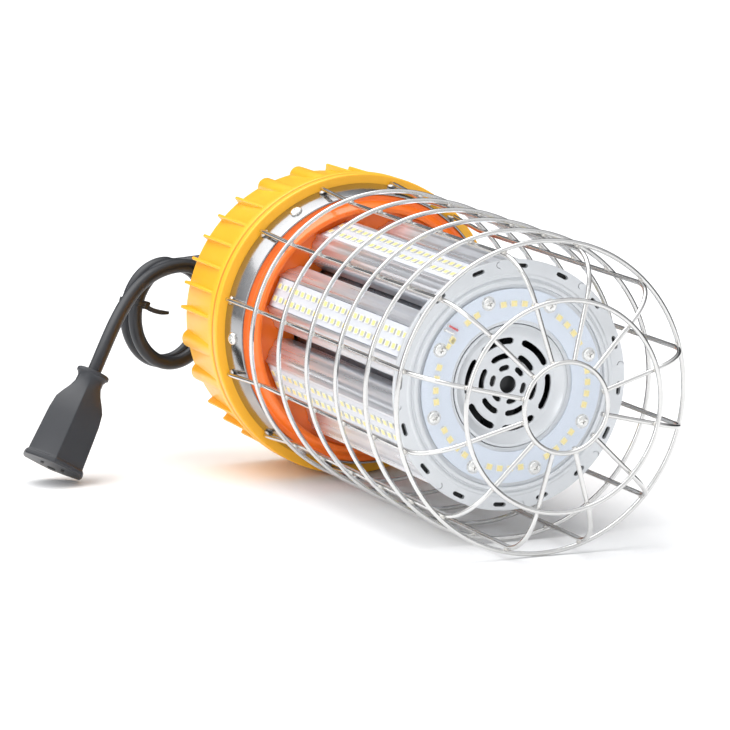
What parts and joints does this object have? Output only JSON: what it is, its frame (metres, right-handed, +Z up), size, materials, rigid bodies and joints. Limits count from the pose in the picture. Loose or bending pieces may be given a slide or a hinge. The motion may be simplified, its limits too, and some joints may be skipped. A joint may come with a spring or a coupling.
{
  "type": "caged work light",
  "caption": "Round caged temporary work light with LED columns around its sides, a lit nose with a fan grille, a ribbed rear housing, a swivel hook and a short tied link cord.",
  "frame": {"origin": "on the floor, under the middle of the light as it lies on its side, without its cord", "axes": "+Z up; the nose points towards -Y and dips by under a degree, because the flange and the front cage ring both touch the floor; +X is to the right as seen from the nose"},
  "size_m": [0.2746, 0.4177, 0.1747],
  "materials": {
    "steel": "bright drawn stainless wire and strip",
    "housing": "satin moulded nylon, warm yellow",
    "seal": "soft silicone ring",
    "collar": "satin moulded plastic, bright orange",
    "aluminium": "bright extrusion",
    "plate": "pale grey satin",
    "board": "white solder mask",
    "cover": "clear moulded cover",
    "black": "smooth rubber jacket",
    "plastic": "fine moulded texture"
  },
  "bodies": {
    "lamp": {"cage_band": "steel", "collar": "collar", "end_plate": "plate", "end_light_board": "board", "end_cover": "cover", "grille": "plate", "fan_frame": "plastic", "core_tube": "aluminium", "led_driver": "aluminium", "rear_housing": "housing", "flange_ring": "housing", "seal_ring": "seal", "output_gland": "black", "inlet_gland": "black", "cord_lead": "black", "cord_coil": "black", "cord_tail": "black", "cord_tie": "plastic", "connector": "plastic", "hook_stud": "steel", "dome_ring": "steel", "nose_ring": "steel", "cage_wire_1": "steel", "cage_wire_2": "steel", "cage_wire_3": "steel", "cage_wire_4": "steel", "cage_wire_5": "steel", "cage_wire_6": "steel", "cage_wire_7": "steel", "cage_wire_8": "steel", "cage_wire_9": "steel", "cage_wire_10": "steel", "cage_wire_11": "steel", "cage_wire_12": "steel", "cage_ring_1": "steel", "cage_ring_2": "steel", "cage_ring_3": "steel", "cage_ring_4": "steel", "cage_ring_5": "steel", "cage_ring_6": "steel", "light_column_1": "aluminium", "led_strip_1": "board", "light_column_2": "aluminium", "led_strip_2": "board", "light_column_3": "aluminium", "led_strip_3": "board", "light_column_4": "aluminium", "led_strip_4": "board", "light_column_5": "aluminium", "led_strip_5": "board", "light_column_6": "aluminium", "led_strip_6": "board", "light_column_7": "aluminium", "led_strip_7": "board", "light_column_8": "aluminium", "led_strip_8": "board"},
    "fan": {"fan_rotor": "plastic"},
    "hook": {"hook": "steel", "latch_pin": "steel"},
    "latch": {"hook_latch": "steel"}
  },
  "joints": [
    {"name": "fan_spin", "type": "hinge", "parent": "lamp", "child": "fan", "pos_m": [0, -0.12274, 0.08496], "axis": [0, -0.9999, -0.0119], "continuous": true},
    {"name": "hook_swivel", "type": "hinge", "parent": "lamp", "child": "hook", "pos_m": [0, 0.13744, 0.08805], "axis": [0, -0.9999, -0.0119], "continuous": true},
    {"name": "latch_hinge", "type": "hinge", "parent": "hook", "child": "latch", "pos_m": [0, 0.15713, 0.09729], "axis": [-1, 0, 0], "range_deg": [0, 38], "stiffness_Nm_per_rad": 0.01, "springref_deg": -20.05}
  ]
}
